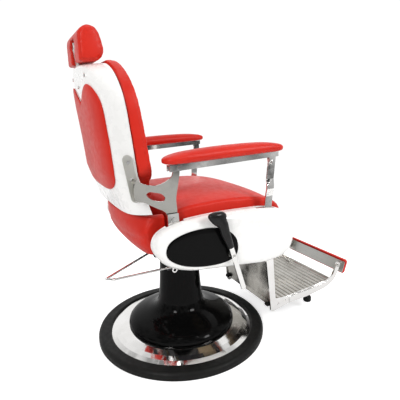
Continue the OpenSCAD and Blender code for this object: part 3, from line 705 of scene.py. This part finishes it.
def wrap_slice(x, cheek, slack):
    """The wrap's outline at x, inside its space by slack: an arc outside, and inside it an arc or a straight front"""
    angles = np.linspace(-69, 4, 25)
    last = len(angles) - 1

    def spot(angle, radius):
        turn = math.radians(angle)
        return RECLINE_PIN[0] + radius * math.cos(turn), RECLINE_PIN[1] + radius * math.sin(turn)

    outer = [(x, *spot(a, wrap_radius(a, x) - slack)) for a in angles]
    inner = []
    for k in range(last, -1, -1):
        share = k / last
        arc_y, arc_z = spot(angles[k], wrap_radius(angles[k], x) - 11.5)
        front_y = 131 + slack + 36 * max(0.0, 1 - share * 3.5)
        front_z = 547 - slack - (125 - slack) * (1 - share)
        inner.append((x, arc_y + (front_y - arc_y) * cheek, arc_z + (front_z - arc_z) * cheek))
    return outer + inner


def make_rear_wrap():
    slack = 1.8
    half = wrap_half - slack
    stations = [(x, 0.0) for x in (0, 30, 60, 90, 115, 135, 150, 165, 178, 188, 195)]
    stations += [(200.5, 0.55), (203.5, 1.0), (210, 1.0), (half - 5, 1.0), (half - 1.5, 1.0), (half, 1.0)]
    insets = [0.0] * 14 + [1.0, 3.5, 7.0]
    right = [wrap_slice(-x, c, slack + i) for (x, c), i in zip(stations[:0:-1], insets[:0:-1])]
    left = [wrap_slice(x, c, slack + i) for (x, c), i in zip(stations, insets)]
    made = loft("seat_back_wrap", right + left)
    seams = []
    for sign in (-1, 1):
        edge = wrap_slice(sign * (half - 2.0), 1.0, slack + 2.0)
        seams.append(edge[:25])

    def held(x, y, z):
        y, z = y - RECLINE_PIN[0], z - RECLINE_PIN[1]
        inside = math.hypot(y, z) < wrap_radius(math.degrees(math.atan2(z, y)), x) - 7
        return 1.0 if inside and abs(x) < 200 else clamp((WRAP_HEM - z) / 8)

    return Pad(made, "seat", "rear_wrap", seams, held, cap=6, fill=0.8)


# ---------- backrest ----------

back_half = mm_box("back_shell")[1].x
CUSHION_TOP = mm_box("back_cushion")[1].z
SHELL_TOP = mm_box("back_shell")[1].z
CUSHION_PEAK = CUSHION_TOP + 2  # where the swept corners of each part would meet
SHELL_PEAK = SHELL_TOP + 10
SWEEP_START = 850.0  # above this height the sides sweep in
SHELL_DEPTH = 71.0


def back_half_width(z, peak):
    """Half the width of a part of the backrest whose swept top corners meet at a peak"""
    up = clamp((z - SWEEP_START) / (peak - SWEEP_START))
    return back_half * (1 - up**2.5) ** 0.4


def front_edge(z):
    """Front of the padded side, in Y, at a height"""
    return 187.5 + 0.13 * (z - 800) + 0.00025 * max(0.0, z - 800) ** 2


def rear_edge(z):
    """Rear of the padded side, in Y, at a height"""
    return 234.5 + 0.115 * (z - 800) - 0.2 * max(0.0, 680 - z)


def shell_y(x, z):
    """Rear face of the white shell"""
    t = clamp(abs(x) / max(back_half_width(z, SHELL_PEAK), 1.0))
    boxy = 0.65 * clamp((780 - z) / 210)
    bulge = SHELL_DEPTH - 6 * max(0.0, (z - SHELL_TOP + 10) / 10) ** 3
    return rear_edge(z) + bulge * (1 - (1 - boxy) * t**4 - boxy * t**16)


def cushion_half_width(z):
    low = clamp((z - 648) / 42)
    return min(back_half_width(z, CUSHION_PEAK) - 2, 192 + 51 * (1 - (1 - low) ** 2))


def cushion_rear(z):
    """The cushion's rear is drawn forward at its foot, to swing clear of the wrap"""
    return rear_edge(z) - 1 - 0.4 * max(0.0, 650 - z)


def make_back_cushion():
    slack = 1.0
    steps = [math.sin(math.pi / 2 * k / 12) for k in range(-12, 13)]
    heights = list(np.linspace(602, SWEEP_START, 30))
    rise = CUSHION_TOP - 5.5 - SWEEP_START
    heights += [SWEEP_START + rise * math.sin(math.pi / 2 * k / 26) for k in range(1, 27)]
    rings = []
    for z in heights:
        from_end = min(z - heights[0], heights[-1] - z)
        bulk = 0.3 + 0.7 * clamp((z - 600) / 60)  # thinner at its foot, where it swings past the wrap
        inset = 9 * bulk * (1 - math.sqrt(clamp(from_end / 9) * (2 - clamp(from_end / 9))))
        half = cushion_half_width(z) - slack - 0.6 * inset
        front = [
            (t * half, front_edge(z) + slack * bulk + inset - 14 * (1 - abs(t) ** 4) + 0.6 * bulk * abs(t) ** 14, z)
            for t in steps
        ]
        rear = [(t * half, cushion_rear(z) - 0.5 - inset - 3 * bulk * abs(t) ** 14, z) for t in reversed(steps)]
        rings.append(front + rear)
    made = loft("back_pad", rings)
    edge = [(cushion_half_width(z) - slack - 1, front_edge(z) + slack + 5, z) for z in heights[1:]]
    edge = edge + mirrored(edge[::-1], -1)
    row = [(cushion_half_width(z) - slack, front_edge(z) + slack + 12, z) for z in heights[2:-2]]

    def held(x, y, z):
        return clamp((y - cushion_rear(z) + 8) / 4)

    stitched = [row, mirrored(row, -1)]
    return Pad(made, "back", "back_cushion", [edge], held, cap=7, fill=0.8, stitched=stitched)


def panel_outline(steps):
    """Heart-topped outline of the padded rear panel, in X and Z"""
    half = [(9, 896), (38, 911), (67, 929), (97, 942), (116, 944), (140, 936), (163, 918), (180, 893), (186, 860),
            (186, 800), (189, 730), (191, 684), (184, 658), (165, 640), (134, 628), (93, 622), (45, 619)]
    return smooth_loop([(0, 889)] + half + [(-x, z) for x, z in half[::-1]], steps)


def make_back_panel():
    """Domed padded panel lying on the shell, its edge rolled under"""
    middle = np.array([0.0, 775.0])
    outline = panel_outline(5)
    profile = [(0.02, 0.3), (0.5, 0.3), (0.9, 0.3), (0.985, 0.4), (0.997, 1.2), (1.0, 2.2), (0.996, 3.2),
               (0.986, 4.3), (0.965, 5.2), (0.93, 5.9), (0.87, 6.4), (0.75, 6.7), (0.6, 6.8), (0.4, 6.9),
               (0.2, 7.0), (0.02, 7.0)]
    rings = []
    for share, lift in profile:
        spots = [middle + (p - middle) * share for p in outline]
        rings.append([(x, shell_y(x, z) + lift, z) for x, z in spots])
    made = loft("rear_panel_pad", rings)
    dressed(made, "back", "vinyl_red", "back_panel")


BAR_LEAN = math.radians(6.6)
BAR_ROOT = np.array([0.0, 316.5, 1000.0])


def in_bar_frame(made):
    """Moves a mesh drawn along the headrest bar to the bar's place"""
    turn = Matrix.Rotation(-BAR_LEAN, 4, "X")
    made.data.transform(Matrix.Translation(Vector(BAR_ROOT * MM)) @ turn)
    return made


def make_back_shell():
    """White moulded shell: boxy at its foot, evenly round above, flat on top, with a slot for the headrest bar"""
    foot = mm_box("back_shell")[0].z
    # Rows up the rear face and then forward over the top: height, and how much of the depth is left
    rows = [(z, 1.0) for z in np.linspace(foot, SWEEP_START, 30)]
    rows += [(SWEEP_START + (SHELL_TOP - 6 - SWEEP_START) * math.sin(math.pi / 2 * k / 26), 1.0) for k in range(1, 27)]
    rows += [(SHELL_TOP - down, left) for down, left in (
        (4, 1), (2.4, 0.997), (1.2, 0.99), (0.5, 0.975), (0.15, 0.95), (0.05, 0.9), (0.02, 0.75), (0.01, 0.5),
        (0.01, 0.25), (0.01, 0.03))]
    shares = [math.sin(math.pi / 2 * k / 30) for k in range(-30, 31)]
    grid = []
    for z, left in rows:
        half, front = back_half_width(z, SHELL_PEAK), rear_edge(z)
        grid.append([(t * half, front + (shell_y(t * half, z) - front) * left, z) for t in shares])
    made = walled("rear_shell", grid, 4.0)
    cut(made, in_bar_frame(box_between("slot", (-28, -5.5, -40), (28, 5.5, 40))))
    eased_edges(made, 0.9, 50)
    dressed(made, "back", "gloss_ivory", "back_shell")


# ---------- headrest ----------

rest_half = mm_box("headrest_pad")[1].x


def headrest_slice(x, inset, steps=6):
    profile = smooth_loop(
        [(332, 1012), (333, 1050), (332, 1086), (323, 1102), (303, 1113), (281, 1108), (268, 1092), (259, 1062),
         (256, 1040), (262, 1023), (279, 1010), (302, 1008), (322, 1008.5)], steps)
    return [(x, y, z) for y, z in drawn_in(profile, (297, 1058), inset, (38, 52))]


def make_headrest_pad():
    slack = 1.2
    half = rest_half - slack
    stations = rounded_ends(half, 16, 7, 22)
    made = loft("headrest", [headrest_slice(x, inset + slack) for x, inset in stations])
    cut(
        made,
        box_between("recess", (-32, 296, 990), (32, 350, 1083)),
        box_between("pin_room", (-41.5, 308, 1053), (41.5, 350, 1071)),
    )
    edges = [headrest_slice(sign * (half - 6), slack + 5) for sign in (-1, 1)]

    def held(x, y, z):
        return 1.0 if abs(x) < 37 and y > 290 and z < 1088 else 0.0

    seams = [edge + edge[:1] for edge in edges]
    return Pad(made, "headrest", "headrest_pad", seams, held, cap=5, fill=0.85)


# ---------- armrests ----------


def rail_z(y):
    """Top of the armrest rail, which rises towards the front"""
    return 709 + (142 - y) * 14 / 391


def make_armrest_pad(side):
    sign = SIDES[side]
    low, high = mm_box("armrest_pad_" + side)
    centre, half = abs(low.x + high.x) / 2, (high.x - low.x) / 2 - 1.5
    stations = smooth_path(
        [(160.5, 0.06, 16.5), (159.5, 0.32, 19), (152, 0.66, 23), (136, 0.87, 28), (105, 0.97, 33), (50, 1, 35.5),
         (-20, 1, 37), (-110, 1, 36), (-185, 1, 33.5), (-224, 0.97, 29), (-243, 0.86, 25), (-252.5, 0.62, 20.5),
         (-255.8, 0.34, 17.5), (-256.5, 0.08, 15.5)], 5)
    rings = []
    for y, share, tall in stations:
        base = rail_z(y) + 1.2
        lift = 12.8 * (1 - max(0.0, share) ** 0.6)
        ring = []
        for a in (math.tau * k / 40 for k in range(40)):
            c, s = math.cos(a), math.sin(a)
            x = centre + half * share * math.copysign(abs(c) ** 0.55, c)
            up = 0.5 + 0.5 * math.copysign(abs(s) ** (0.8 if s > 0 else 0.45), s)
            ring.append((sign * x, y, base + lift + (tall - 1.5 - lift) * up))
        rings.append(ring)
    made = loft("arm_pad_" + side, rings)
    seams = []
    for out in (-1, 1):
        line = [
            (sign * (centre + out * half * share), y, rail_z(y) + 8 + 7 * (1 - share)) for y, share, _ in stations[4:-4]
        ]
        seams.append(line)

    def held(x, y, z):
        return clamp((rail_z(y) + 5 - z) / 3)

    return Pad(made, "armrest_" + side, "armrest_pad_" + side, seams, held, cap=3.5, fill=0.9)


# ---------- calf pad ----------


def make_calf_pad():
    """Thin pad folded over the top edge of the calf plate"""
    half = mm_box("calf_pad")[1].x - 0.5
    profile = smooth_loop(
        [(-691.5, 148), (-700, 149), (-708, 166), (-716, 184), (-719, 197), (-713, 206), (-705, 208), (-699, 205.5),
         (-704.6, 197), (-698, 174)], 8)
    stations = rounded_ends(half, 6, 6, 20)
    rings = [[(x, y, z) for y, z in drawn_in(profile, (-706, 178), inset + 0.4, (14, 30))] for x, inset in stations]
    made = loft("calf_cushion", rings)
    dressed(made, "calf_flap", "vinyl_red", "calf_pad")


# ---------- side covers, eye panels, lever grip ----------

COVER_RIM = 266.0
COVER_CROWN = 316.0
LEVER_PIN = (-46.0, 412.0)
COVER_OUTLINE = [
    (201, 470), (190, 501), (155, 523), (100, 536), (0, 543), (-110, 543), (-205, 538), (-268, 520), (-301, 480),
    (-310, 432), (-298, 385), (-262, 359), (-190, 349), (-80, 359), (20, 368), (100, 380), (160, 405), (189, 437)]
EYE_OUTLINE = [
    (171, 456), (160, 484), (125, 502), (75, 511), (20, 510), (-30, 496), (-64, 466), (-74, 430), (-62, 401),
    (-20, 388), (50, 390), (115, 405), (158, 430)]


def side_rings(outline, middle, half, profile, sign):
    """Rings of a form that stands out from the side of the chair: each is (distance out, how far drawn in)"""
    return [[(sign * x, y, z) for y, z in drawn_in(outline, middle, inset, half)] for x, inset in profile]


def make_side_cover(side):
    sign = SIDES[side]
    outline = smooth_loop(COVER_OUTLINE, 7)
    bend = smooth_path([(24, 0), (34, 2.5), (42, 7.5), (47, 15), (49.5, 27), (50, 50)], 4)
    lip = [(0, 2.2), (0.2, 1.0), (1.0, 0.2), (2.2, 0), (6.2, 0), (6.9, 0.25), (7.4, 1.1), (8.2, 1.1), (8.7, 0.25),
           (9.4, 0), (16, 0)]
    inside = smooth_path([(46.5, 48), (46.2, 30), (44, 19), (40, 11), (33, 6), (24, 3.5)], 3) + [(8, 3.5), (0.2, 3.3)]
    profile = [(COVER_RIM + p[0], p[1]) for p in inside + lip + bend]
    made = loft("side_shell_" + side, side_rings(outline, (-50, 446), (258, 97), profile, sign))
    rear = sorted((sign * (COVER_RIM - 2), sign * 282))
    front = sorted((sign * 276, sign * 294.5))
    cutters = [
        box_between("rear_slot", (rear[0], 92, 480), (rear[1], 153, 560)),
        box_between("front_slot", (front[0], -232, 500), (front[1], -158, 560)),
    ]
    if side == "right":
        cutters.append(cross_rod("shaft_hole", LEVER_PIN, 8.5, -COVER_CROWN - 5, -COVER_RIM))
    cut(made, *cutters)
    eased_edges(made, 0.4, 60)
    dressed(made, "seat", "gloss_ivory", "side_cover_" + side)


def make_eye_panel(side):
    sign = SIDES[side]
    outline = smooth_loop(EYE_OUTLINE, 10)
    out = COVER_CROWN + 0.2
    profile = [(out, 3), (out, 0.2), (out + 0.5, 0), (out + 1.0, 0.3), (out + 1.5, 0.9), (out + 1.9, 1.9),
               (out + 2.25, 3.6), (out + 2.5, 6), (out + 2.7, 10), (out + 2.82, 16), (out + 2.9, 26), (out + 2.95, 40)]
    made = loft("side_eye_" + side, side_rings(outline, (45, 450), (122, 62), profile, sign))
    if side == "right":
        cut(made, cross_rod("shaft_hole", LEVER_PIN, 8.5, -out - 5, -out + 3))
    dressed(made, "seat", "gloss_black", "eye_panel_" + side)


def make_lever_grip():
    """Moulded grip that flares into a rounded head"""
    lever_x = (mm_box("lever_bar")[0].x + mm_box("lever_bar")[1].x) / 2
    # Up the grip: centre, depth front to rear, width, and how far the section leans
    sections = smooth_path(
        [(-36, 440.6, 6, 4.5, 16), (-35.8, 441.2, 8.8, 6.8, 16), (-35, 443.5, 10.5, 8.6, 16),
         (-26.5, 466.5, 12.8, 11.3, 16), (-16, 494.5, 15.4, 11.8, 17), (-9.5, 516.5, 17.0, 12.8, 15),
         (0, 528.5, 22.3, 13.3, 12), (7, 540, 27.8, 13.8, 4), (10.5, 548.5, 30.2, 13.8, 1),
         (11.4, 554.5, 28.6, 12.6, 0), (11, 559, 23, 10, 0), (10, 561.8, 14, 6, 0), (9.6, 562.2, 5, 2, 0)], 5)
    rings = []
    for y, z, deep, wide, degrees in sections:
        lean = math.radians(degrees)
        ring = []
        for a in (math.tau * k / 44 for k in range(44)):
            c, s = math.cos(a), math.sin(a)
            reach = deep * math.copysign(abs(s) ** 0.95, s)
            across = wide * math.copysign(abs(c) ** 0.9, c)
            ring.append((lever_x + across, y + reach * math.cos(lean), z - reach * math.sin(lean)))
        rings.append(ring)
    made = loft("grip", rings)
    dressed(made, "pump_lever", "grip_black", "lever_grip")


# ---------- stage, light and camera ----------

FLOOR_GLOW = 0.62  # lifts the lit floor to plain white
SHADE_DARK = 0.05  # the studio behind the camera is patchy, between these two
SHADE_LIGHT = 0.66
BRIGHT_SIDE = 1.0  # the white backdrop, as the chair sees it


def make_stage():
    """Round pale floor that fades into the white surround, with only a faint shadow where the chair stands"""
    reach = 1900.0
    rim = [(reach * math.cos(math.tau * k / 96), reach * math.sin(math.tau * k / 96), 0) for k in range(96)]
    floor = new_object("floor", rim, [tuple(range(96))])
    made = Finish("floor_white", (0.90, 0.90, 0.90), 0.6)
    made.shades(made.noise(0.6, 2), (0.895, 0.895, 0.895), (0.905, 0.905, 0.905))
    made.shader.inputs["Specular IOR Level"].default_value = 0.0
    seen = made.node("ShaderNodeLightPath")
    glow = made.node("ShaderNodeMath", {0: seen.outputs["Is Camera Ray"], 1: FLOOR_GLOW}, operation="MULTIPLY")
    made.shader.inputs["Emission Color"].default_value = (1, 1, 1, 1)
    made.tree.links.new(glow.outputs[0], made.shader.inputs["Emission Strength"])
    paint(floor, made.material)


def make_surround(view_way):
    """White towards the backdrop, patchy behind the camera, and plain white where the camera looks past the chair"""
    world = bpy.data.worlds.new("surround")
    scene.world = world
    world.use_nodes = True
    tree = world.node_tree
    tree.nodes.clear()

    def node(kind, **inputs):
        made = tree.nodes.new(kind)
        for key, value in inputs.items():
            made.inputs[key].default_value = value
        return made

    way = tree.nodes.new("ShaderNodeTexCoord")
    along = tree.nodes.new("ShaderNodeVectorMath")
    along.operation = "DOT_PRODUCT"
    along.inputs[1].default_value = view_way
    tree.links.new(way.outputs["Generated"], along.inputs[0])
    ramp = tree.nodes.new("ShaderNodeMapRange")
    ramp.interpolation_type = "SMOOTHSTEP"
    for key, value in (("From Min", -0.55), ("From Max", 0.75), ("To Max", BRIGHT_SIDE)):
        ramp.inputs[key].default_value = value
    tree.links.new(along.outputs["Value"], ramp.inputs["Value"])
    # The studio behind the camera: light and dark patches for the plated metal to mirror
    clutter = node("ShaderNodeTexNoise", Scale=6.0, Detail=1.5)
    tree.links.new(way.outputs["Generated"], clutter.inputs["Vector"])
    patches = node("ShaderNodeMapRange")
    patches.interpolation_type = "SMOOTHSTEP"
    for key, value in (("From Min", 0.43), ("From Max", 0.56), ("To Min", SHADE_DARK), ("To Max", SHADE_LIGHT)):
        patches.inputs[key].default_value = value
    tree.links.new(clutter.outputs["Fac"], patches.inputs["Value"])
    tree.links.new(patches.outputs[0], ramp.inputs["To Min"])
    seen = tree.nodes.new("ShaderNodeLightPath")
    lit = node("ShaderNodeBackground")
    lit.inputs["Color"].default_value = (1, 1, 1, 1)
    tree.links.new(ramp.outputs[0], lit.inputs["Strength"])
    plain = node("ShaderNodeBackground", Strength=1.05)
    plain.inputs["Color"].default_value = (1, 1, 1, 1)
    mix = tree.nodes.new("ShaderNodeMixShader")
    tree.links.new(seen.outputs["Is Camera Ray"], mix.inputs[0])
    tree.links.new(lit.outputs[0], mix.inputs[1])
    tree.links.new(plain.outputs[0], mix.inputs[2])
    output = tree.nodes.new("ShaderNodeOutputWorld")
    tree.links.new(mix.outputs[0], output.inputs["Surface"])


def softbox(name, place, target, size, power):
    light = bpy.data.lights.new(name, "AREA")
    light.shape = "SQUARE"
    light.size = size
    light.energy = power
    made = bpy.data.objects.new(name, light)
    scene.collection.objects.link(made)
    made.location = place
    made.rotation_mode = "QUATERNION"
    made.rotation_quaternion = (Vector(target) - Vector(place)).to_track_quat("-Z", "Y")


def make_lights():
    middle = (cad_low + cad_high) / 2
    softbox("key_box", (-1.9, 2.3, 2.2), middle, 0.9, 44)
    softbox("fill_box", (-2.5, -1.6, 2.2), middle, 0.9, 44)
    softbox("top_box", (-0.2, 0.0, 3.2), middle, 1.6, 14)


def make_camera():
    """Eye height just below the headrest, behind the sitter's right shoulder; returns the way it looks"""
    yaw, pitch, roll = math.radians(-26.22), math.radians(12.38), math.radians(-1.52)
    ahead = Vector((math.cos(pitch) * math.cos(yaw), math.cos(pitch) * math.sin(yaw), -math.sin(pitch)))
    right = ahead.cross(Vector((0, 0, 1))).normalized()
    up = right.cross(ahead)
    tilted_right = right * math.cos(roll) + up * math.sin(roll)
    tilted_up = up * math.cos(roll) - right * math.sin(roll)
    lens = bpy.data.cameras.new("camera")
    lens.lens = 34.59
    lens.sensor_width = 36
    lens.shift_x = -0.0011
    lens.shift_y = -0.0188
    lens.clip_start, lens.clip_end = 0.05, 60
    camera = bpy.data.objects.new("camera", lens)
    scene.collection.objects.link(camera)
    camera.location = (-1.3067, 0.5430, 0.8664)
    camera.rotation_mode = "QUATERNION"
    camera.rotation_quaternion = Matrix((tilted_right, tilted_up, -ahead)).transposed().to_quaternion()
    scene.camera = camera
    return ahead


# ---------- build ----------

view_way = make_camera()
make_surround(view_way)
make_stage()
make_lights()
scene.view_settings.view_transform = "Standard"

dress_frame()
make_back_shell()
make_back_panel()
make_calf_pad()
make_lever_grip()
for side in SIDES:
    make_side_cover(side)
    make_eye_panel(side)

pads = [make_seat_cushion(), make_rear_wrap(), make_back_cushion(), make_headrest_pad()]
pads += [make_armrest_pad(side) for side in SIDES]
swell(pads)
for pad in pads:
    pad.finish()
